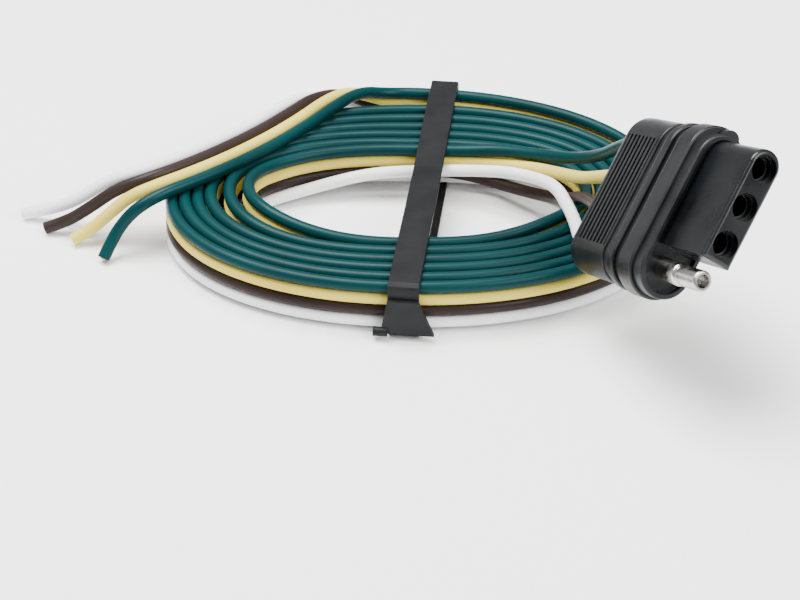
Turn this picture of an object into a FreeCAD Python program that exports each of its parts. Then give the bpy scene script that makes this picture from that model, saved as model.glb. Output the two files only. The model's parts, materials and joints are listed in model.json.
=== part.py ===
"""Vehicle-side four-way flat trailer wiring connector with a coiled, tied lead.

Units are millimetres, +Z is up and z = 0 is the surface that the coil lies on.
The plug is drawn in its own axes (x forwards out of the nose, y along the row of
contacts from the white wire to the green one, z out of the broad face) and is
then leaned on the right-hand end of the coil.
"""
import FreeCAD
import Part
import math
import os

from FreeCAD import Vector

# ---------------------------------------------------------------- driving dimensions
COLOURS = ["white", "brown", "yellow", "green"]

WIRE_D = 3.0               # over the insulation
CORE_D = 1.5               # bundle of copper strands
PITCH = 8.4                # contact to contact
ROW_HALF = 1.5 * PITCH     # centre of the row to an outer contact
CONTACT_Y = {"white": -1.5 * PITCH, "brown": -0.5 * PITCH,
             "yellow": 0.5 * PITCH, "green": 1.5 * PITCH}

# plug stations along its own x axis; 0 is the front of the nose
NOSE_BASE = -14.8
RECESS_FLOOR = -16.2
LIP_BACK = -18.1
BAND_BACK = -23.4
RIM_FRONT = -26.0
RIM_BACK = -28.4
GRIP_FRONT = -31.0
GRIP_BACK = -46.0
CORE_BACK = -30.0
WIRE_STOP = -42.0          # where the insulation ends inside the grip
CRIMP_FRONT = -35.0
CRIMP_BACK = -41.0

# radii of the rounded ends at those stations
LIP_R = 6.25
BAND_R = 7.0
NECK_R = 5.9
RIM_R = 6.7
GRIP_NECK_R = 5.85
GRIP_R = 6.2
RECESS_R = 5.2
INSULATOR_R = 4.6
LIP_SHORT = 0.9            # the lip stops this much short at the green end

# nose
NOSE_T = 7.4               # across the broad faces
NOSE_PIN_SIDE = -8.3       # flat wall beside the exposed pin
NOSE_END_R = 4.1
MOUTH_R = 2.9
MOUTH_DEPTH = 1.6
THROAT_R = 2.5

# contacts
SLEEVE_R = 2.75
SLEEVE_BORE_R = 2.25
SLEEVE_FRONT = -3.0
SLEEVE_BACK = -14.0
SLEEVE_FLOOR = -15.0
NECK_ROD_R = 1.2
CRIMP_R = 1.45
PIN_R = 2.2
PIN_COLLAR_R = 2.45
PIN_WAIST_R = 2.0
PIN_TIP = -1.2
PIN_WAIST_FRONT = -7.6
PIN_COLLAR_FRONT = -8.6
PIN_ROOT = -17.4
PIN_HOLE_R = 1.4
PIN_HOLE_DEPTH = 5.0

# ribbed panels of the grip
PANEL_FRONT = -31.7
PANEL_BACK = -43.9
PANEL_HALF = 12.7
PANEL_DEPTH = 0.5
RIB_COUNT = 8
RIB_W = 0.8
RIB_H = 0.5

# where the plug leans: its nose-front centre and its yaw, pitch and roll
PLUG_AT = Vector(31.75, -56.5, 44.8)
PLUG_ANGLES = (-65.1, -21.6, 50.3)

# coil: four rings of ribbon on edge, one per colour, lying on the strap
STRAP_T = 1.0
STRAP_W = 7.0
COIL_X = -30.6             # middle of both ovals, and where the wires join and leave
COIL_FRONT = -31.4
COIL_BACK = 54.4           # left of the step
COIL_STEP_BACK = 61.2      # right of the step, where the last turn still lies
COIL_HALF_X = 60.0
COIL_END_R = 38.0
OPENING_HALF_X = 38.9
OPENING_FRONT = -10.4
OPENING_BACK = 31.9
OPENING_END_R = 19.0
SHELF_L = 14.0             # first turn, where the tails leave it
COIL_TOP_R = 1.2
JOIN_OVERRUN = 0.8         # a wire runs this far on before it is squared off at the coil
JOIN_BLOCK = 6.0

# tie strap
STRAP_MID_X = -28.4
STRAP_MID_Y = 14.9
STRAP_TURN = -6.7          # degrees about z
STRAP_HALF_L = 47.2        # middle to the inside of an end
STRAP_TAIL_T = 1.1

# routes outside the grip and the coil, hand-laid, one list per wire
TAIL_STRAIGHT = 6.0        # the tails leave the grip straight for this far
PLUG_TAILS = {
    "white": [
        (5.3, -11.0, 16.2), (4.1, -1.5, 15.4), (2.1, 8.2, 14.7), (-2.5, 16.1, 11.8),
        (-8.9, 22.4, 9.7), (-16.2, 25.9, 6.5), (-23.7, 27.2, 3.1), (-30.6, 30.4, 2.5),
    ],
    "brown": [
        (9.5, -9.2, 20.4), (7.6, -1.0, 17.3), (4.9, 7.4, 11.4), (1.5, 15.8, 6.8),
        (-4.9, 23.0, 4.3), (-13.2, 28.9, 3.8), (-21.5, 30.0, 5.4), (-30.6, 30.4, 5.5),
    ],
    "yellow": [
        (11.2, -3.5, 24.2), (7.9, 4.0, 19.2), (3.3, 13.0, 15.2), (-2.7, 21.4, 11.8),
        (-11.2, 27.6, 9.2), (-21.2, 29.9, 8.5), (-30.6, 30.4, 8.5),
    ],
    "green": [
        (15.1, 0.0, 29.8), (12.2, 6.5, 23.9), (6.5, 14.2, 18.4), (-1.2, 22.2, 15.0),
        (-10.2, 28.0, 12.9), (-20.1, 29.8, 11.5), (-30.6, 30.4, 11.5),
    ],
}
FREE_LEADS = {
    "green": [
        (-30.6, 59.6, 11.5), (-38.1, 59.4, 11.5), (-45.1, 55.0, 14.4), (-51.2, 46.2, 15.0),
        (-57.1, 37.6, 14.8), (-64.9, 27.8, 14.7), (-73.5, 18.7, 14.7), (-82.3, 10.9, 14.7),
        (-90.9, 4.6, 14.6), (-96.7, 1.8, 12.2), (-100.7, 1.4, 7.6), (-103.0, -0.4, 4.0),
        (-104.6, -2.8, 1.3),
    ],
    "yellow": [
        (-30.6, 59.6, 8.5), (-38.3, 60.6, 8.5), (-47.5, 57.8, 13.2), (-53.9, 47.9, 15.5),
        (-59.4, 39.5, 15.4), (-67.1, 29.7, 15.3), (-75.6, 20.8, 15.3), (-84.2, 13.2, 15.3),
        (-92.7, 7.0, 15.2), (-98.7, 6.0, 12.9), (-104.3, 5.8, 7.8), (-108.7, 6.0, 3.6),
        (-112.9, 4.8, 1.6),
    ],
    "brown": [
        (-30.6, 59.6, 5.5), (-38.7, 61.8, 5.5), (-49.5, 60.4, 11.0), (-56.6, 50.2, 15.4),
        (-61.8, 41.3, 16.1), (-69.4, 31.7, 16.0), (-77.6, 23.0, 16.0), (-86.0, 15.5, 16.0),
        (-94.4, 9.4, 15.9), (-102.0, 9.3, 13.1), (-109.3, 8.8, 7.8), (-115.1, 10.4, 3.2),
        (-120.3, 10.0, 1.6),
    ],
    "white": [
        (-30.6, 59.6, 2.5), (-39.1, 63.0, 2.6), (-51.5, 62.6, 8.4), (-59.2, 52.6, 14.2),
        (-64.1, 43.2, 16.7), (-71.6, 33.6, 16.6), (-79.7, 25.1, 16.6), (-87.9, 17.8, 16.6),
        (-96.2, 11.8, 16.5), (-104.5, 12.5, 13.7), (-111.5, 13.0, 8.2), (-118.9, 15.6, 3.6),
        (-126.7, 16.6, 1.6),
    ],
}
END_CORE_L = 6.0           # bundle of strands shown at each cut end


# ---------------------------------------------------------------- helpers
def placed(shape):
    """Take a shape from the plug's own axes to where the plug leans."""
    yaw, pitch, roll = PLUG_ANGLES
    moved = shape.copy()
    moved.Placement = FreeCAD.Placement(PLUG_AT, FreeCAD.Rotation(yaw, pitch, roll))
    return moved


def plug_point(x, y):
    """A point on the plug's middle plane, in the model's frame."""
    yaw, pitch, roll = PLUG_ANGLES
    return PLUG_AT + FreeCAD.Rotation(yaw, pitch, roll).multVec(Vector(x, y, 0))


def rod(x0, x1, y, r):
    """A round bar along the plug's x axis."""
    return Part.makeCylinder(r, x1 - x0, Vector(x0, y, 0), Vector(1, 0, 0))


def stadium(x0, x1, low, high, r):
    """A bar with round ends of radius r, centred at y = low and y = high."""
    a = Vector(x0, low, -r)
    b = Vector(x0, high, -r)
    c = Vector(x0, high, r)
    d = Vector(x0, low, r)
    wire = Part.Wire([
        Part.LineSegment(a, b).toShape(),
        Part.Arc(b, Vector(x0, high + r, 0), c).toShape(),
        Part.LineSegment(c, d).toShape(),
        Part.Arc(d, Vector(x0, low - r, 0), a).toShape(),
    ])
    return Part.Face(wire).extrude(Vector(x1 - x0, 0, 0))


def edges_at(shape, x):
    """The edges of a shape that lie in the plane x."""
    found = []
    for edge in shape.Edges:
        box = edge.BoundBox
        if abs(box.XMin - x) < 1e-4 and abs(box.XMax - x) < 1e-4:
            found.append(edge)
    return found


def fused(shapes):
    """Join shapes to one clean solid."""
    whole = shapes[0].multiFuse(shapes[1:]).removeSplitter()
    return whole.Solids[0] if len(whole.Solids) == 1 else whole


def corner_radii(points):
    """The largest tangent arc each corner of a route allows."""
    radii = []
    for before, here, after in zip(points, points[1:], points[2:]):
        turn = (here - before).getAngle(after - here)
        shorter = min((here - before).Length, (after - here).Length)
        radii.append(0.45 * shorter / math.tan(turn / 2))
    return radii


def cord_tube(points, diameter):
    """A tube on straight runs joined by tangent arcs, its length and its radii."""
    radii = corner_radii(points)
    edges = []
    start = points[0]
    for i, radius in enumerate(radii, 1):
        back = (points[i - 1] - points[i]).normalize()
        on = (points[i + 1] - points[i]).normalize()
        half = (math.pi - back.getAngle(on)) / 2
        reach = radius * math.tan(half)
        bisector = (back + on).normalize()
        middle = points[i] + bisector * (radius / math.cos(half) - radius)
        into = points[i] + back * reach
        out = points[i] + on * reach
        edges.append(Part.LineSegment(start, into).toShape())
        edges.append(Part.Arc(into, middle, out).toShape())
        start = out
    edges.append(Part.LineSegment(start, points[-1]).toShape())
    path = Part.Wire(edges)
    ring = Part.makeCircle(diameter / 2, points[0], points[1] - points[0])
    tube = path.makePipeShell([Part.Wire([ring])], True, False)
    return tube, path.Length, radii


def oval_half(cx, side, front, back, half_x, end_r):
    """Half of a four-arc oval, from its front middle round one side to its back middle."""
    half_y = (back - front) / 2
    cy = (back + front) / 2
    reach = half_x - end_r
    big_r = (reach ** 2 + half_y ** 2 - end_r ** 2) / (2 * (half_y - end_r))
    lean = math.atan2(reach, big_r - half_y)
    join_x = cx + side * big_r * math.sin(lean)
    join_y = big_r * math.cos(lean) - (big_r - half_y)

    def flat_arc(sign):
        mid = Vector(cx + side * big_r * math.sin(lean / 2),
                     cy + sign * (big_r * math.cos(lean / 2) - (big_r - half_y)), 0)
        ends = [Vector(cx, cy + sign * half_y, 0), Vector(join_x, cy + sign * join_y, 0)]
        return Part.Arc(ends[0], mid, ends[1]).toShape()

    round_end = Part.Arc(Vector(join_x, cy - join_y, 0), Vector(cx + side * half_x, cy, 0),
                         Vector(join_x, cy + join_y, 0)).toShape()
    return [flat_arc(-1), round_end, flat_arc(1)]


# ---------------------------------------------------------------- plug
def nose_insulator():
    """Nose with three socket mouths, and the core hidden behind it."""
    half = NOSE_T / 2
    outline = Part.Wire([
        Part.LineSegment(Vector(RECESS_FLOOR, NOSE_PIN_SIDE, half),
                         Vector(RECESS_FLOOR, NOSE_PIN_SIDE, -half)).toShape(),
        Part.LineSegment(Vector(RECESS_FLOOR, NOSE_PIN_SIDE, -half),
                         Vector(RECESS_FLOOR, ROW_HALF, -half)).toShape(),
        Part.Arc(Vector(RECESS_FLOOR, ROW_HALF, -half),
                 Vector(RECESS_FLOOR, ROW_HALF + NOSE_END_R, 0),
                 Vector(RECESS_FLOOR, ROW_HALF, half)).toShape(),
        Part.LineSegment(Vector(RECESS_FLOOR, ROW_HALF, half),
                         Vector(RECESS_FLOOR, NOSE_PIN_SIDE, half)).toShape(),
    ])
    nose = Part.Face(outline).extrude(Vector(-RECESS_FLOOR, 0, 0))
    nose = nose.makeFillet(0.9, edges_at(nose, 0.0))
    body = fused([nose, stadium(CORE_BACK, RECESS_FLOOR, -ROW_HALF, ROW_HALF, INSULATOR_R)])
    for colour in COLOURS[1:]:
        y = CONTACT_Y[colour]
        body = body.cut(rod(-MOUTH_DEPTH, 1, y, MOUTH_R))
        body = body.cut(rod(SLEEVE_FRONT, 1, y, THROAT_R))
        body = body.cut(rod(SLEEVE_FLOOR, SLEEVE_FRONT, y, SLEEVE_R))
        body = body.cut(rod(CORE_BACK - 1, SLEEVE_FLOOR, y, NECK_ROD_R))
    body = body.cut(rod(PIN_ROOT, 0, CONTACT_Y["white"], PIN_COLLAR_R))
    body = body.cut(rod(CORE_BACK - 1, PIN_ROOT, CONTACT_Y["white"], NECK_ROD_R))
    return body


def rib(x, side):
    """One grip rib along the row, on the broad face given by side."""
    floor = side * (GRIP_R - PANEL_DEPTH)
    bar = Part.makeBox(RIB_W, 2 * PANEL_HALF, RIB_H,
                       Vector(x - RIB_W / 2, -PANEL_HALF, min(floor, floor + side * RIB_H)))
    return bar


def overmould():
    """Outer moulding: front lip, band, thin rim and ribbed grip, all with round ends."""
    lip = stadium(LIP_BACK, NOSE_BASE, -ROW_HALF, ROW_HALF - LIP_SHORT, LIP_R)
    lip = lip.makeFillet(0.35, edges_at(lip, NOSE_BASE))
    band = stadium(BAND_BACK, LIP_BACK, -ROW_HALF, ROW_HALF, BAND_R)
    band = band.makeFillet(0.45, edges_at(band, LIP_BACK) + edges_at(band, BAND_BACK))
    neck = stadium(RIM_FRONT, BAND_BACK, -ROW_HALF, ROW_HALF, NECK_R)
    rim = stadium(RIM_BACK, RIM_FRONT, -ROW_HALF, ROW_HALF, RIM_R)
    rim = rim.makeFillet(0.5, edges_at(rim, RIM_FRONT) + edges_at(rim, RIM_BACK))
    grip_neck = stadium(GRIP_FRONT, RIM_BACK, -ROW_HALF, ROW_HALF, GRIP_NECK_R)
    grip = stadium(GRIP_BACK, GRIP_FRONT, -ROW_HALF, ROW_HALF, GRIP_R)
    grip = grip.makeFillet(1.6, edges_at(grip, GRIP_BACK))
    grip = grip.makeFillet(0.3, edges_at(grip, GRIP_FRONT))
    nub = rod(-17.6, -16.0, ROW_HALF + 4.6, 2.2)

    for side in (1, -1):
        low = GRIP_R - PANEL_DEPTH if side > 0 else -GRIP_R - 1
        pocket = Part.makeBox(PANEL_FRONT - PANEL_BACK, 2 * PANEL_HALF, PANEL_DEPTH + 1,
                              Vector(PANEL_BACK, -PANEL_HALF, low))
        grip = grip.cut(pocket)
    step = (PANEL_FRONT - PANEL_BACK) / RIB_COUNT
    ribs = []
    for side in (1, -1):
        for i in range(RIB_COUNT):
            ribs.append(rib(PANEL_BACK + (i + 0.5) * step, side))
    body = fused([grip, grip_neck, rim, neck, band, lip, nub] + ribs)

    body = body.cut(stadium(RECESS_FLOOR, 0, -ROW_HALF, ROW_HALF - LIP_SHORT, RECESS_R))
    body = body.cut(stadium(CORE_BACK, RECESS_FLOOR, -ROW_HALF, ROW_HALF, INSULATOR_R))
    for colour in COLOURS:
        y = CONTACT_Y[colour]
        body = body.cut(rod(GRIP_BACK - 1, WIRE_STOP, y, WIRE_D / 2))
        body = body.cut(rod(WIRE_STOP, CRIMP_BACK, y, CORE_D / 2))
        body = body.cut(rod(CRIMP_BACK, CRIMP_FRONT, y, CRIMP_R))
        body = body.cut(rod(CRIMP_FRONT, CORE_BACK, y, NECK_ROD_R))
    return body


def crimp_and_neck(front, y):
    """Rear of a contact: a rod through the core and the crimp barrel behind it."""
    barrel = rod(CRIMP_BACK, CRIMP_FRONT, y, CRIMP_R)
    barrel = barrel.cut(rod(CRIMP_BACK - 1, CRIMP_FRONT - 1, y, CORE_D / 2))
    return [rod(CRIMP_FRONT, front, y, NECK_ROD_R), barrel]


def socket_terminal(y):
    """Female contact: a sleeve open to the nose, closed behind."""
    sleeve = rod(SLEEVE_FLOOR, SLEEVE_FRONT, y, SLEEVE_R)
    sleeve = sleeve.cut(rod(SLEEVE_BACK, 0, y, SLEEVE_BORE_R))
    return fused([sleeve] + crimp_and_neck(SLEEVE_FLOOR, y))


def ground_pin(y):
    """Exposed male contact: stout collar, waist, and a hollow rounded tip."""
    collar = rod(PIN_ROOT, PIN_COLLAR_FRONT, y, PIN_COLLAR_R)
    collar = collar.makeFillet(0.8, edges_at(collar, PIN_COLLAR_FRONT))
    waist = rod(PIN_COLLAR_FRONT, PIN_WAIST_FRONT, y, PIN_WAIST_R)
    shaft = rod(PIN_WAIST_FRONT, PIN_TIP, y, PIN_R)
    shaft = shaft.makeChamfer(0.15, edges_at(shaft, PIN_WAIST_FRONT))
    shaft = shaft.makeFillet(0.45, edges_at(shaft, PIN_TIP))
    pin = fused([collar, waist, shaft] + crimp_and_neck(PIN_ROOT, y))
    return pin.cut(rod(PIN_TIP - PIN_HOLE_DEPTH, 0, y, PIN_HOLE_R))


def conductor(y):
    """Bared strands between the end of the insulation and the bottom of the crimp."""
    return rod(WIRE_STOP, CRIMP_FRONT - 1, y, CORE_D / 2)


# ---------------------------------------------------------------- lead
def layer_z(colour):
    """Underside of one colour's ring: the ribbon stands on edge, white lowest."""
    return STRAP_T + WIRE_D * COLOURS.index(colour)


def coil_ring(colour):
    """Outer shape of one colour's turns, with the steps where the wire joins and leaves."""
    right = oval_half(COIL_X, 1, COIL_FRONT, COIL_STEP_BACK, COIL_HALF_X, COIL_END_R)
    left = oval_half(COIL_X, -1, COIL_FRONT, COIL_BACK, COIL_HALF_X, COIL_END_R)
    step = Part.LineSegment(Vector(COIL_X, COIL_BACK, 0),
                            Vector(COIL_X, COIL_STEP_BACK, 0)).toShape()
    outer = Part.Face(Part.Wire(Part.__sortEdges__(right + left + [step])))
    shelf = Part.makePlane(SHELF_L, WIRE_D, Vector(COIL_X - SHELF_L, OPENING_BACK - WIRE_D, 0))
    hole = Part.Face(Part.Wire(Part.__sortEdges__(
        oval_half(COIL_X, 1, OPENING_FRONT, OPENING_BACK, OPENING_HALF_X, OPENING_END_R)
        + oval_half(COIL_X, -1, OPENING_FRONT, OPENING_BACK, OPENING_HALF_X, OPENING_END_R))))
    ring = outer.cut(hole.cut(shelf)).extrude(Vector(0, 0, WIRE_D))
    if colour == COLOURS[-1]:
        rim = [e for e in ring.Edges
               if e.BoundBox.ZMin > WIRE_D / 2 and e.BoundBox.XLength > 2 * SHELF_L]
        ring = ring.makeFillet(COIL_TOP_R, rim)
    ring.translate(Vector(0, 0, layer_z(colour)))
    return ring.Solids[0]


def tail_points(colour):
    """Route from inside the grip, straight out of it, and on to the coil's first turn."""
    y = CONTACT_Y[colour]
    straight = [plug_point(WIRE_STOP, y), plug_point(GRIP_BACK - TAIL_STRAIGHT, y)]
    return straight + [Vector(*p) for p in PLUG_TAILS[colour]]


def lead_points(colour):
    """Route from the wire's cut end back to the coil's last turn."""
    return [Vector(*p) for p in reversed(FREE_LEADS[colour])]


def joined_to_coil(points, side):
    """A wire whose route ends at the coil, squared off against the coil on that side."""
    onward = (points[-1] - points[-2]).normalize() * JOIN_OVERRUN
    tube, length, radii = cord_tube(points[:-1] + [points[-1] + onward], WIRE_D)
    low_x = COIL_X if side > 0 else COIL_X - JOIN_BLOCK
    block = Part.makeBox(JOIN_BLOCK, 2 * JOIN_BLOCK, 2 * JOIN_BLOCK,
                         Vector(low_x, points[-1].y - JOIN_BLOCK, points[-1].z - JOIN_BLOCK))
    return tube.cut(block).Solids[0], length, radii


def end_core(colour):
    """Copper strands in the cut end, as one bundle."""
    points = lead_points(colour)
    inward = (points[1] - points[0]).normalize()
    return Part.makeCylinder(CORE_D / 2, END_CORE_L, points[0], inward)


def strap_placement():
    """Across the middle of the coil, a few degrees off square."""
    return FreeCAD.Placement(Vector(STRAP_MID_X, STRAP_MID_Y, 0),
                             FreeCAD.Rotation(Vector(0, 0, 1), STRAP_TURN))


def tie_strap():
    """Flat strap round both sides of the coil."""
    top = STRAP_T + 4 * WIRE_D
    outside = Part.makeBox(STRAP_W, 2 * (STRAP_HALF_L + STRAP_T), top + STRAP_T,
                           Vector(-STRAP_W / 2, -STRAP_HALF_L - STRAP_T, 0))
    upper = [e for e in outside.Edges
             if e.BoundBox.ZMin > top and e.BoundBox.YLength < 1e-6 and e.BoundBox.XLength > 1]
    outside = outside.makeFillet(0.8, upper)
    inside = Part.makeBox(STRAP_W + 2, 2 * STRAP_HALF_L, top - STRAP_T,
                          Vector(-STRAP_W / 2 - 1, -STRAP_HALF_L, STRAP_T))
    loop = outside.cut(inside)
    loop.Placement = strap_placement()
    return loop.Solids[0]


def tie_strap_tail():
    """The strap's end, folded down over the front and flared at the bottom."""
    y = -STRAP_HALF_L - STRAP_T
    outline = [Vector(-5.0, y, 1.8), Vector(7.0, y, 1.8), Vector(5.8, y, 4.6),
               Vector(3.5, y, 10.4), Vector(-3.5, y, 10.4), Vector(-4.4, y, 5.5)]
    flap = Part.Face(Part.makePolygon(outline + outline[:1])).extrude(Vector(0, -STRAP_TAIL_T, 0))
    roll = Part.makeCylinder(1.1, 3.2, Vector(-6.6, y - 0.9, 2.2), Vector(1, 0, 0))
    tail = fused([flap, roll])
    tail.Placement = strap_placement()
    return tail


# ---------------------------------------------------------------- build
def build():
    """Every node of the model, by name."""
    nodes = {
        "nose_insulator": placed(nose_insulator()),
        "overmould_grip": placed(overmould()),
        "ground_pin": placed(ground_pin(CONTACT_Y["white"])),
        "tie_strap": tie_strap(),
        "tie_strap_tail": tie_strap_tail(),
    }
    for colour in COLOURS[1:]:
        nodes[f"socket_terminal_{colour}"] = placed(socket_terminal(CONTACT_Y[colour]))
    for colour in COLOURS:
        nodes[f"crimp_strands_{colour}"] = placed(conductor(CONTACT_Y[colour]))
        nodes[f"coil_{colour}"] = coil_ring(colour)
        core = end_core(colour)
        nodes[f"end_strands_{colour}"] = core
        leads = {"plug_tail": joined_to_coil(tail_points(colour), -1),
                 "free_lead": joined_to_coil(lead_points(colour), 1)}
        for name, (tube, length, radii) in leads.items():
            section = math.pi * WIRE_D ** 2 / 4
            print(f"{name}_{colour}: length {length:.1f}, volume / (section x length) "
                  f"{tube.Volume / (section * length):.4f}, radii "
                  + " ".join(f"{r:.1f}" for r in radii))
            nodes[f"{name}_{colour}"] = tube
        nodes[f"free_lead_{colour}"] = nodes[f"free_lead_{colour}"].cut(core)
    return nodes


def main():
    os.makedirs("parts", exist_ok=True)
    for name, shape in build().items():
        print(f"{name}: solids {len(shape.Solids)}, valid {shape.isValid()}, "
              f"volume {shape.Volume:.1f}")
        shape.exportStep(f"parts/{name}.step")


main()
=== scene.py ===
"""A four-way flat trailer wiring connector with its coiled, tied lead, on a pale floor.

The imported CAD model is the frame: metres, +Z up, z = 0 the surface that the coil lies on.
Sizes and routes are named here in millimetres and turned into metres by mm().
"""

import bpy
import json
import math

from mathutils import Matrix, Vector


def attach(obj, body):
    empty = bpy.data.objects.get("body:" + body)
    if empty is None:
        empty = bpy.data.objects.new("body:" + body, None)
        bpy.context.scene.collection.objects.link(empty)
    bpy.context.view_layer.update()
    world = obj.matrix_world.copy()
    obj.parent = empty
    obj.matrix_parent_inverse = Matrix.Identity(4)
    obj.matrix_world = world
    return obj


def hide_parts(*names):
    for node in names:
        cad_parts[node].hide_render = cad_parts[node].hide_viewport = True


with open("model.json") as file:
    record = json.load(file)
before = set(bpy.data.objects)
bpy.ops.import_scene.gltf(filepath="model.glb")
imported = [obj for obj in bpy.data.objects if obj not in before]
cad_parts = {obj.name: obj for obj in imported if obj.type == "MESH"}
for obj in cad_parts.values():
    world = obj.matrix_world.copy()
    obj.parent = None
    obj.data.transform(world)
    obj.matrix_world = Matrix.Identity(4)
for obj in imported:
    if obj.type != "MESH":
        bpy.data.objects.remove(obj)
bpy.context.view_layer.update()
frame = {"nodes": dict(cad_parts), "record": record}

COLOURS = ["white", "brown", "yellow", "green"]

WIRE_D = 3.0
PITCH = 8.4                    # contact to contact in the plug
CONTACT_Y = {"white": -1.5 * PITCH, "brown": -0.5 * PITCH,
             "yellow": 0.5 * PITCH, "green": 1.5 * PITCH}
SOCKET_MOUNT_X = -8.5          # where the record's socket mounts stand on the plug's own x axis
GRIP_BACK = -46.0
WIRE_START = -44.0             # the wires are followed from just inside the grip
TAIL_STRAIGHT = 6.0
TUBE_SMOOTHNESS = 5

# the coil: stations are at the back, left, front and right of each turn
STRAP_T = 1.0
STRAP_W = 7.0
COIL_X = -30.6
COIL_Y = 10.75
INNER_HALF_X = 40.4
INNER_HALF_Y = 22.65
COIL_TURNS = 6
TURN_POINTS = 32
STATION_OFFSETS = {
    "back": [-3.0, 0.0, 4.0, 8.0, 12.4, 17.1, 26.3],
    "left": [0.0, 4.6, 9.1, 12.1, 15.1, 18.1],
    "front": [0.0, 3.5, 7.0, 10.6, 14.4, 18.0],
    "right": [0.0, 3.6, 7.2, 10.8, 14.4, 18.1],
}
WHITE_SETTLES = 0.24           # share of the first turn over which the white wire joins in
WHITE_INSIDE = 3.6             # how far inside the ribbon it starts
WHITE_ABOVE = 5.0              # how far above its own place it starts
INNER_SQUARENESS = 2.3         # of the superellipse each turn follows
OUTER_SQUARENESS = 2.1
WANDER = 0.22                  # how far a turn strays in and out of its place
WANDER_WAVES = 2.7             # per turn
WANDER_SHIFT = 1.3             # radians from one turn to the next
LEAN = 0.14                    # how far one wire strays from the next in the ribbon
LEAN_WAVE = 5.1                # radians per turn
# places along the winding where the ribbon stands clear of the floor: turn, half width, height
LIFTS = [(0.31, 0.17, 3.0), (0.66, 0.13, 2.2), (1.27, 0.16, 1.2), (1.70, 0.15, 0.8),
         (2.30, 0.15, 0.5), (3.72, 0.15, 0.6), (4.28, 0.14, 0.4)]

# routes outside the grip and the coil, one list per wire
PLUG_TAILS = {
    "white": [
        (5.3, -11.0, 16.2), (4.1, -1.5, 15.4), (2.1, 8.2, 14.7), (-2.5, 16.1, 12.2),
        (-8.9, 21.0, 10.8), (-16.2, 23.9, 9.4), (-23.7, 25.8, 8.3), (-30.6, 26.8, 7.5),
    ],
    "brown": [
        (9.5, -9.2, 20.4), (7.6, -1.0, 17.3), (4.9, 7.4, 11.4), (1.5, 15.8, 6.8),
        (-4.9, 23.0, 4.3), (-13.2, 28.9, 3.8), (-21.5, 30.0, 5.4), (-30.6, 30.4, 5.5),
    ],
    "yellow": [
        (11.2, -3.5, 24.2), (7.9, 4.0, 19.2), (3.3, 13.0, 15.2), (-2.7, 21.4, 11.8),
        (-11.2, 27.6, 9.2), (-21.2, 29.9, 8.5), (-30.6, 30.4, 8.5),
    ],
    "green": [
        (15.1, 0.0, 29.8), (12.2, 6.5, 23.9), (6.5, 14.2, 18.4), (-1.2, 22.2, 15.0),
        (-10.2, 28.0, 12.9), (-20.1, 29.8, 11.5), (-30.6, 30.4, 11.5),
    ],
}
FREE_LEADS = {
    "green": [
        (-30.6, 59.6, 11.5), (-38.1, 59.4, 11.5), (-45.1, 55.0, 14.4), (-51.2, 46.2, 15.0),
        (-57.1, 37.6, 14.8), (-64.9, 27.8, 14.7), (-73.5, 18.7, 14.7), (-82.3, 10.9, 14.7),
        (-90.9, 4.6, 14.6), (-96.7, 1.8, 12.2), (-100.7, 1.4, 7.6), (-103.0, -0.4, 4.0),
        (-104.6, -2.8, 1.3),
    ],
    "yellow": [
        (-30.6, 59.6, 8.5), (-38.3, 60.6, 8.5), (-47.5, 57.8, 13.2), (-53.9, 47.9, 15.5),
        (-59.4, 39.5, 15.4), (-67.1, 29.7, 15.3), (-75.6, 20.8, 15.3), (-84.2, 13.2, 15.3),
        (-92.7, 7.0, 15.2), (-98.7, 6.0, 12.9), (-104.3, 5.8, 7.8), (-108.7, 6.0, 3.6),
        (-112.9, 4.8, 1.6),
    ],
    "brown": [
        (-30.6, 59.6, 5.5), (-38.7, 61.8, 5.5), (-49.5, 60.4, 11.0), (-56.6, 50.2, 15.4),
        (-61.8, 41.3, 16.1), (-69.4, 31.7, 16.0), (-77.6, 23.0, 16.0), (-86.0, 15.5, 16.0),
        (-94.4, 9.4, 15.9), (-102.0, 9.3, 13.1), (-109.3, 8.8, 7.8), (-115.1, 10.4, 3.2),
        (-120.3, 10.0, 1.6),
    ],
    "white": [
        (-30.6, 59.6, 2.5), (-39.1, 63.0, 2.6), (-51.5, 62.6, 8.4), (-59.2, 52.6, 14.2),
        (-64.1, 43.2, 16.7), (-71.6, 33.6, 16.6), (-79.7, 25.1, 16.6), (-87.9, 17.8, 16.6),
        (-96.2, 11.8, 16.5), (-104.5, 12.5, 13.7), (-111.5, 13.0, 8.2), (-118.9, 15.6, 3.6),
        (-126.7, 16.6, 1.6),
    ],
}

STRAP_MID = (-28.4, 14.9)
STRAP_TURN = -6.7              # degrees about z
STRAP_HALF_L = 47.2
STRAP_TOP = STRAP_T + len(COLOURS) * WIRE_D
STRAP_CORNER = 1.2
STRAP_EDGE = 0.22              # rounding of its edges
# how far the strap sinks over the opening: along, down
STRAP_SAG = [(36.0, 0.0), (24.0, 0.1), (16.0, 0.35), (4.0, 0.7), (-8.0, 0.7), (-20.0, 0.3),
             (-26.0, 0.05), (-36.0, 0.0)]
ARC_STEPS = 4                  # per quarter turn

STRAND_R = 0.15
STRAND_L = 3.0
STRAND_SIDES = 8
STRAND_RINGS = 3
STRAND_TWIST = 0.3             # of a place, from one ring to the next
STRAND_SHOWS = 0.23            # how far the copper stands out of the cut
STRAND_UNEVEN = 0.4            # share of that which changes from strand to strand
STRAND_CHANGE = 2.4            # radians from one strand to the next

AIM = (-34.7, -18.0, 0.0)      # the floor point at the middle of the view
VIEW_DISTANCE = 420.0
VIEW_ELEVATION = 35.0
LENS = 82.4

# metres
LIGHT_SIZE = 0.7
LIGHTS = {"key": ((-0.30, 0.15, 0.95), 34), "fill": ((0.60, -0.55, 0.75), 17)}
SURROUND_STRENGTH = 0.55
FLOOR_HALF = 3.0


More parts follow.
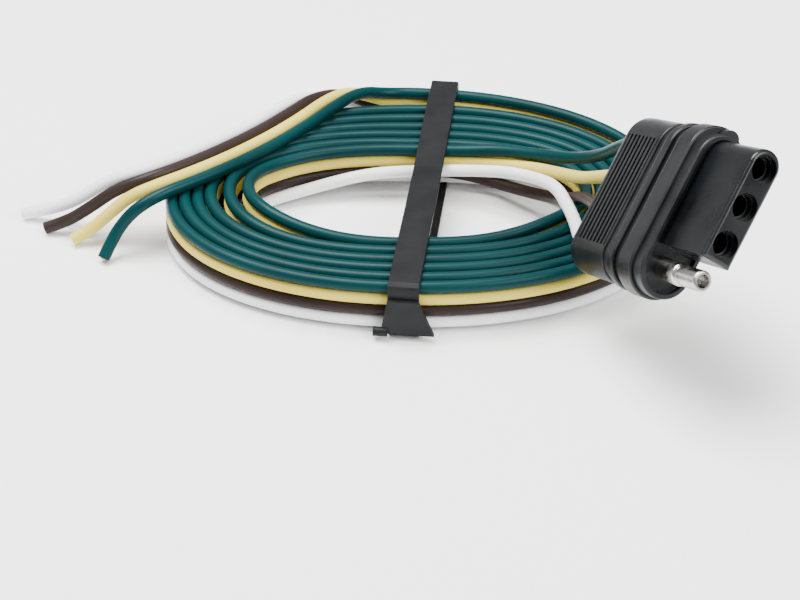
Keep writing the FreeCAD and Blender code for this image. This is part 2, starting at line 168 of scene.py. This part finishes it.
# ---------------------------------------------------------------- helpers
def mm(point):
    """A point or vector given in millimetres, in metres."""
    return Vector(point) / 1000


def socket_mount(colour):
    return next(m for m in frame["record"]["mounts"] if m["name"] == f"socket_{colour}")


def plug_axes():
    """The plug's nose-front centre and its forward, row and broad-face directions."""
    brown = Vector(socket_mount("brown")["pos_m"])
    yellow = Vector(socket_mount("yellow")["pos_m"])
    forward = Vector(socket_mount("brown")["axis"])
    row = (yellow - brown).normalized()
    origin = (brown + yellow) / 2 - forward * SOCKET_MOUNT_X / 1000
    return origin, forward, row, forward.cross(row)


def plug_point(x, y, z=0.0):
    """A point given in the plug's own axes."""
    origin, forward, row, face = plug_axes()
    return origin + (forward * x + row * y + face * z) / 1000


def tube(name, points, diameter, material):
    """A round cord along one smooth spline through the route's runs."""
    curve = bpy.data.curves.new(name, "CURVE")
    curve.dimensions = "3D"
    curve.bevel_depth = diameter / 2
    curve.bevel_resolution = TUBE_SMOOTHNESS
    curve.resolution_u = TUBE_SMOOTHNESS
    curve.use_fill_caps = True
    spline = curve.splines.new("NURBS")
    spline.points.add(len(points) - 1)
    for control, point in zip(spline.points, points):
        control.co = (*point, 1)
    spline.order_u = 3
    spline.use_endpoint_u = True
    curve.materials.append(material)
    obj = bpy.data.objects.new(name, curve)
    bpy.context.collection.objects.link(obj)
    return obj


def mesh_piece(name, verts, faces, material):
    """A mesh object from points in metres."""
    mesh = bpy.data.meshes.new(name)
    mesh.from_pydata([tuple(v) for v in verts], [], faces)
    mesh.validate()
    mesh.materials.append(material)
    obj = bpy.data.objects.new(name, mesh)
    bpy.context.collection.objects.link(obj)
    return obj


def add_bevel(obj, width, segments=3):
    """Rounds the sharp edges of a piece."""
    bevel = obj.modifiers.new("rounded", "BEVEL")
    bevel.width = width / 1000
    bevel.segments = segments
    bevel.limit_method = "ANGLE"
    bevel.angle_limit = math.radians(40)


# ---------------------------------------------------------------- materials
GRAIN_DETAIL = 4.0
GRAIN_STRENGTH = 0.6
MOTTLE_DETAIL = 3.0
MOTTLE_SPAN = (0.35, 0.65)     # of the noise, from the dark colour to the light one
GLOSS_SPAN = (0.3, 0.7)        # of the noise, from the lower roughness to the higher


def new_material(name, colour, roughness, specular=0.5, metallic=0.0):
    """A plain surface, and the nodes that a pattern can be added to."""
    material = bpy.data.materials.new(name)
    material.use_nodes = True
    shader = material.node_tree.nodes["Principled BSDF"]
    shader.inputs["Base Color"].default_value = (*colour, 1)
    shader.inputs["Roughness"].default_value = roughness
    shader.inputs["Specular IOR Level"].default_value = specular
    shader.inputs["Metallic"].default_value = metallic
    return material, material.node_tree.nodes, material.node_tree.links, shader


def add_grain(nodes, links, shader, scale, height):
    """Fine surface texture; scale is per metre and height in millimetres."""
    place = nodes.new("ShaderNodeTexCoord")
    noise = nodes.new("ShaderNodeTexNoise")
    noise.inputs["Scale"].default_value = scale
    noise.inputs["Detail"].default_value = GRAIN_DETAIL
    bump = nodes.new("ShaderNodeBump")
    bump.inputs["Strength"].default_value = GRAIN_STRENGTH
    bump.inputs["Distance"].default_value = height / 1000
    links.new(place.outputs["Object"], noise.inputs["Vector"])
    links.new(noise.outputs["Fac"], bump.inputs["Height"])
    links.new(bump.outputs["Normal"], shader.inputs["Normal"])
    return place


def add_mottle(nodes, links, shader, place, light, dark, scale):
    """Slow change between two close colours."""
    noise = nodes.new("ShaderNodeTexNoise")
    noise.inputs["Scale"].default_value = scale
    noise.inputs["Detail"].default_value = MOTTLE_DETAIL
    ramp = nodes.new("ShaderNodeValToRGB")
    for stop, place_in_noise, colour in zip(ramp.color_ramp.elements, MOTTLE_SPAN, (dark, light)):
        stop.position = place_in_noise
        stop.color = (*colour, 1)
    links.new(place.outputs["Object"], noise.inputs["Vector"])
    links.new(noise.outputs["Fac"], ramp.inputs["Fac"])
    links.new(ramp.outputs["Color"], shader.inputs["Base Color"])


def add_gloss_change(nodes, links, shader, place, low, high, scale):
    """Roughness that wanders between two values."""
    noise = nodes.new("ShaderNodeTexNoise")
    noise.inputs["Scale"].default_value = scale
    span = nodes.new("ShaderNodeMapRange")
    span.inputs["From Min"].default_value = GLOSS_SPAN[0]
    span.inputs["From Max"].default_value = GLOSS_SPAN[1]
    span.inputs["To Min"].default_value = low
    span.inputs["To Max"].default_value = high
    links.new(place.outputs["Object"], noise.inputs["Vector"])
    links.new(noise.outputs["Fac"], span.inputs["Value"])
    links.new(span.outputs["Result"], shader.inputs["Roughness"])


WIRE_PAINT = {                 # light and dark ends of each colour's slow mottle
    "white": ((0.84, 0.84, 0.84), (0.78, 0.78, 0.785)),
    "brown": ((0.027, 0.018, 0.016), (0.018, 0.012, 0.011)),
    "yellow": ((0.66, 0.54, 0.10), (0.58, 0.46, 0.075)),
    "green": ((0.0002, 0.031, 0.033), (0.0001, 0.022, 0.024)),
}


def wire_material(colour):
    """Satin PVC insulation."""
    light, dark = WIRE_PAINT[colour]
    material, nodes, links, shader = new_material(f"pvc_{colour}", light, 0.38, specular=0.10)
    place = add_grain(nodes, links, shader, scale=900, height=0.02)
    add_mottle(nodes, links, shader, place, light, dark, scale=45)
    add_gloss_change(nodes, links, shader, place, low=0.30, high=0.44, scale=70)
    return material


def overmould_material():
    """Black moulded PVC with a faint grain."""
    light, dark = (0.0045, 0.0055, 0.0065), (0.0025, 0.003, 0.004)
    material, nodes, links, shader = new_material("overmould_black", light, 0.36, specular=0.33)
    place = add_grain(nodes, links, shader, scale=1500, height=0.035)
    add_mottle(nodes, links, shader, place, light, dark, scale=120)
    add_gloss_change(nodes, links, shader, place, low=0.28, high=0.46, scale=160)
    return material


def insulator_material():
    """Smoother black moulding of the nose."""
    light, dark = (0.004, 0.005, 0.006), (0.002, 0.0025, 0.003)
    material, nodes, links, shader = new_material("insulator_black", light, 0.3, specular=0.33)
    place = add_grain(nodes, links, shader, scale=1100, height=0.02)
    add_mottle(nodes, links, shader, place, light, dark, scale=150)
    add_gloss_change(nodes, links, shader, place, low=0.24, high=0.38, scale=120)
    return material


def strap_material():
    """Matt black strap."""
    light, dark = (0.008, 0.0085, 0.009), (0.005, 0.0055, 0.006)
    material, nodes, links, shader = new_material("strap_black", light, 0.5, specular=0.15)
    place = add_grain(nodes, links, shader, scale=2200, height=0.05)
    add_mottle(nodes, links, shader, place, light, dark, scale=140)
    add_gloss_change(nodes, links, shader, place, low=0.42, high=0.6, scale=200)
    return material


def contact_material():
    """Dull plated brass."""
    material, nodes, links, shader = new_material("contact_metal", (0.50, 0.50, 0.49), 0.22,
                                                  metallic=1.0)
    light, dark = (0.55, 0.545, 0.53), (0.40, 0.39, 0.36)
    place = add_grain(nodes, links, shader, scale=700, height=0.02)
    add_mottle(nodes, links, shader, place, light, dark, scale=260)
    add_gloss_change(nodes, links, shader, place, low=0.16, high=0.34, scale=400)
    return material


def painted_shade_sleeve_material():
    """Painted shade: the sockets' metal, darkened to stand for the shadow deep inside them."""
    material, nodes, links, shader = new_material("contact_shaded", (0.05, 0.05, 0.05), 0.45,
                                                  metallic=1.0)
    # both mottle ends are near black: painted shade for the recess, not the metal's own colour
    light, dark = (0.075, 0.073, 0.07), (0.03, 0.03, 0.03)
    place = add_grain(nodes, links, shader, scale=500, height=0.01)
    add_mottle(nodes, links, shader, place, light, dark, scale=200)
    return material


def copper_material():
    """Fresh-cut copper strands."""
    material, nodes, links, shader = new_material("copper_strand", (0.70, 0.36, 0.20), 0.3,
                                                  metallic=1.0)
    light, dark = (0.74, 0.40, 0.24), (0.50, 0.24, 0.13)
    place = add_grain(nodes, links, shader, scale=2500, height=0.02)
    add_mottle(nodes, links, shader, place, light, dark, scale=900)
    return material


def floor_material():
    return new_material("floor_pale", (0.96, 0.96, 0.96), 0.8, specular=0.2)[0]


# ---------------------------------------------------------------- camera and wires
def set_camera():
    """A level camera, looking down from the front."""
    camera = bpy.data.objects.new("camera", bpy.data.cameras.new("camera"))
    tilt = math.radians(VIEW_ELEVATION)
    offset = Vector((0, -math.cos(tilt), math.sin(tilt))) * VIEW_DISTANCE
    camera.location = mm(Vector(AIM) + offset)
    camera.rotation_euler = (math.pi / 2 - tilt, 0, 0)
    camera.data.lens = LENS
    bpy.context.collection.objects.link(camera)
    bpy.context.scene.camera = camera


def station_offset(turn):
    """How far the winding has grown outward from the innermost turn, at a count of turns."""
    quarter = min(int(turn * 4), COIL_TURNS * 4 - 1)
    names = ["back", "left", "front", "right"]

    def at(q):
        return STATION_OFFSETS[names[q % 4]][q // 4]

    share = turn * 4 - quarter
    return at(quarter) * (1 - share) + at(quarter + 1) * share


def lift(turn):
    """How far the ribbon stands above its place, at a count of turns."""
    height = 0.0
    for middle, half_width, top in LIFTS:
        reach = abs(turn - middle) / half_width
        if reach < 1:
            height += top * (1 + math.cos(math.pi * reach)) / 2
    return height


def wander(turn, layer):
    """A turn's small stray in or out, a little more for each wire down the ribbon."""
    fade = min(1, turn * 2, (COIL_TURNS - turn) * 2)
    wave = math.sin(2 * math.pi * WANDER_WAVES * turn + WANDER_SHIFT * math.floor(turn))
    return fade * (WANDER * wave + LEAN * layer * math.sin(LEAN_WAVE * turn))


def white_stray(turn):
    """How far inside and above the ribbon the white wire still runs in the first turn."""
    share = (1 + math.cos(math.pi * min(turn / WHITE_SETTLES, 1))) / 2
    return WHITE_INSIDE * (1 - (1 - share) ** 2), WHITE_ABOVE * share ** 2


def coil_point(turn, layer):
    """A point of the winding; turns are counted from the back, through the left end."""
    inside, above = white_stray(turn) if layer == 0 else (0, 0)
    offset = station_offset(turn) + wander(turn, len(COLOURS) - 1 - layer) - inside
    z = STRAP_T + WIRE_D * (layer + 0.5) + above
    growth = min(max(offset / STATION_OFFSETS["left"][-1], 0), 1)
    power = 2 / (INNER_SQUARENESS + (OUTER_SQUARENESS - INNER_SQUARENESS) * growth)
    angle = math.pi / 2 + 2 * math.pi * turn
    c, s = math.cos(angle), math.sin(angle)
    x = COIL_X + (INNER_HALF_X + offset) * math.copysign(abs(c) ** power, c)
    y = COIL_Y + (INNER_HALF_Y + offset) * math.copysign(abs(s) ** power, s)
    return mm((x, y, z + lift(turn)))


def coil_turns(colour):
    """One wire's turns between the end of its tail and the start of its free lead."""
    steps = COIL_TURNS * TURN_POINTS
    return [coil_point(i / TURN_POINTS, COLOURS.index(colour)) for i in range(1, steps)]


def wire(colour):
    """One unbroken wire: grip, tail, coil and free lead."""
    y = CONTACT_Y[colour]
    route = [plug_point(WIRE_START, y), plug_point(GRIP_BACK - TAIL_STRAIGHT, y)]
    route += [mm(p) for p in PLUG_TAILS[colour]]
    route += coil_turns(colour)
    route += [mm(p) for p in FREE_LEADS[colour]]
    obj = tube(f"wire_{colour}", route, WIRE_D / 1000, wire_material(colour))
    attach(obj, "root")
    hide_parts(f"coil_{colour}", f"plug_tail_{colour}", f"free_lead_{colour}")


# ---------------------------------------------------------------- cut ends
def strand_places():
    """Middles of a round bundle of strands: one, six and twelve."""
    places = [(0.0, 0.0)]
    for ring in range(1, STRAND_RINGS):
        count = 6 * ring
        for i in range(count):
            angle = 2 * math.pi * (i + STRAND_TWIST * ring) / count
            places.append((2 * STRAND_R * ring * math.cos(angle),
                           2 * STRAND_R * ring * math.sin(angle)))
    return places


def strand_bundle(colour, material):
    """Copper strands cut almost flush with the insulation, each a little different."""
    end, before = mm(FREE_LEADS[colour][-1]), mm(FREE_LEADS[colour][-2])
    out = (end - before).normalized()
    side = out.orthogonal().normalized()
    up = out.cross(side)
    verts, faces = [], []
    sides = STRAND_SIDES
    for n, (u, v) in enumerate(strand_places()):
        middle = end + (side * u + up * v) / 1000
        change = STRAND_UNEVEN * (math.sin(STRAND_CHANGE * n) - 1)
        shows = STRAND_SHOWS * (1 + change)
        first = len(verts)
        for along in (-STRAND_L, shows):
            for i in range(sides):
                angle = 2 * math.pi * i / sides
                rim = side * math.cos(angle) + up * math.sin(angle)
                verts.append(middle + (out * along + rim * STRAND_R) / 1000)
        for i in range(sides):
            j = (i + 1) % sides
            faces.append((first + i, first + j, first + sides + j, first + sides + i))
        faces.append(tuple(first + sides + i for i in range(sides)))
        faces.append(tuple(first + i for i in reversed(range(sides))))
    obj = mesh_piece(f"strands_{colour}", verts, faces, material)
    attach(obj, "root")
    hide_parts(f"end_strands_{colour}")


# ---------------------------------------------------------------- strap
def strap_point(x, y, z):
    """A point given across, along and above the strap's middle."""
    turn = math.radians(STRAP_TURN)
    c, s = math.cos(turn), math.sin(turn)
    return mm((STRAP_MID[0] + x * c - y * s, STRAP_MID[1] + x * s + y * c, z))


def strap_outline():
    """Along and up stations of the strap's middle line, once round the coil."""
    far = STRAP_HALF_L + STRAP_T / 2
    low, high = STRAP_T / 2, STRAP_TOP + STRAP_T / 2
    corner = STRAP_CORNER
    line = []
    arcs = [(far - corner, low + corner, -90), (far - corner, high - corner, 0),
            (-far + corner, high - corner, 90), (-far + corner, low + corner, 180)]
    for y, z, start in arcs:
        for step in range(ARC_STEPS + 1):
            angle = math.radians(start + 90 * step / ARC_STEPS)
            line.append((y + corner * math.cos(angle), z + corner * math.sin(angle)))
        if start == 0:
            line += [(y, high - sag) for y, sag in STRAP_SAG]
    return line


def tie_strap(material):
    """Flat strap round both sides of the coil, sagging a little over the opening."""
    line = strap_outline()
    count = len(line)
    verts, faces = [], []
    for i, (y, z) in enumerate(line):
        before, after = line[i - 1], line[(i + 1) % count]
        run = Vector((after[0] - before[0], after[1] - before[1])).normalized()
        outward = (run.y, -run.x)
        for x, side in ((-1, -1), (1, -1), (1, 1), (-1, 1)):
            verts.append(strap_point(x * STRAP_W / 2, y + side * outward[0] * STRAP_T / 2,
                                     z + side * outward[1] * STRAP_T / 2))
    for i in range(count):
        j = (i + 1) % count
        for k in range(4):
            m = (k + 1) % 4
            faces.append((4 * i + k, 4 * i + m, 4 * j + m, 4 * j + k))
    obj = mesh_piece("strap", verts, faces, material)
    add_bevel(obj, STRAP_EDGE)
    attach(obj, "root")
    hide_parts("tie_strap")


# ---------------------------------------------------------------- CAD pieces shown as they are
def finish_cad_pieces(overmould, insulator, contact, painted_shade_sleeve, copper, strap):
    """Materials of the CAD pieces that show as they are."""
    materials = {"overmould_grip": overmould, "nose_insulator": insulator,
                 "ground_pin": contact, "tie_strap_tail": strap}
    # the socket terminals get the darkened metal that paints the shade inside the sockets
    for colour in COLOURS[1:]:
        materials[f"socket_terminal_{colour}"] = painted_shade_sleeve
    for colour in COLOURS:
        materials[f"crimp_strands_{colour}"] = copper
    for name, material in materials.items():
        node = frame["nodes"][name]
        node.data.materials.clear()
        node.data.materials.append(material)


# ---------------------------------------------------------------- surroundings
def area_light(name, place, target, power):
    lamp = bpy.data.lights.new(name, "AREA")
    lamp.shape = "SQUARE"
    lamp.size = LIGHT_SIZE
    lamp.energy = power
    obj = bpy.data.objects.new(name, lamp)
    obj.location = place
    obj.rotation_euler = (Vector(target) - Vector(place)).to_track_quat("-Z", "Y").to_euler()
    bpy.context.collection.objects.link(obj)


def surroundings():
    """Pale floor, bright surround and soft lights."""
    half = FLOOR_HALF
    corners = [(-half, -half, 0), (half, -half, 0), (half, half, 0), (-half, half, 0)]
    mesh_piece("floor", corners, [(0, 1, 2, 3)], floor_material())
    world = bpy.data.worlds.new("surround")
    world.use_nodes = True
    background = world.node_tree.nodes["Background"]
    background.inputs["Color"].default_value = (1.0, 1.0, 1.0, 1)
    background.inputs["Strength"].default_value = SURROUND_STRENGTH
    bpy.context.scene.world = world
    middle = mm(AIM)
    for name, (place, power) in LIGHTS.items():
        area_light(name, place, middle, power)


set_camera()
for colour in COLOURS:
    wire(colour)
copper = copper_material()
for colour in COLOURS:
    strand_bundle(colour, copper)
strap = strap_material()
tie_strap(strap)
finish_cad_pieces(overmould_material(), insulator_material(), contact_material(),
                  painted_shade_sleeve_material(), copper, strap)
surroundings()
